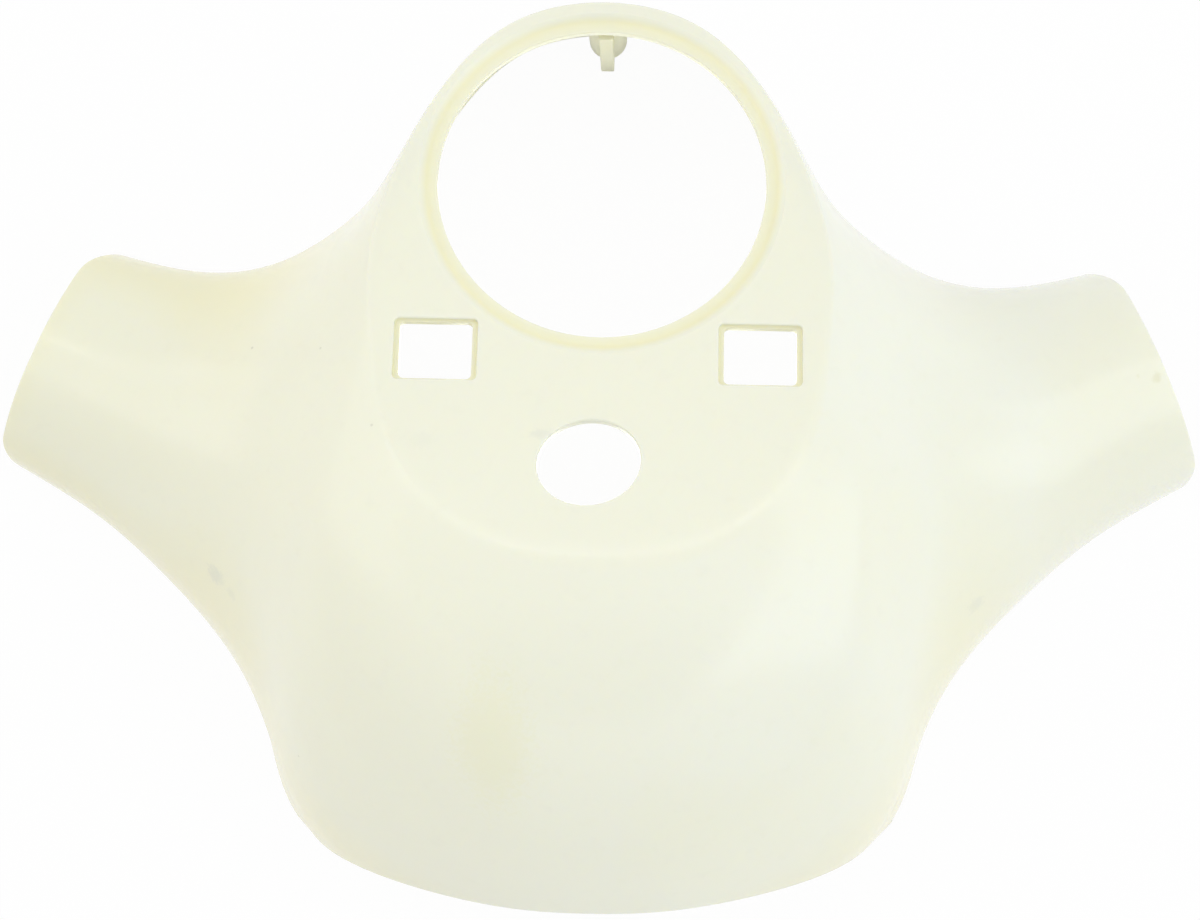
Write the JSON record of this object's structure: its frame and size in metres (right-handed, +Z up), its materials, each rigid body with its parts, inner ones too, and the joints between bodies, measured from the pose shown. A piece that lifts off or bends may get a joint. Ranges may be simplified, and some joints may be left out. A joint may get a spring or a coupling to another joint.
{
  "type": "scooter handlebar cover",
  "caption": "Moulded upper handlebar cover for a small scooter: a domed shell with an arch for the lamp, a round gauge pod, lamp windows, a key hole and a half-tube arm on each side.",
  "frame": {"origin": "middle of the bounding box, on the rim plane that the cover stands on", "axes": "+X to the right arm as the rider sits, +Y to the rider, +Z up out of the dome"},
  "size_m": [0.313, 0.2257, 0.0964],
  "materials": {
    "cover": "pale cream moulded plastic with a low sheen"
  },
  "bodies": {
    "root": {"handlebar_cover": "cover"}
  },
  "joints": []
}
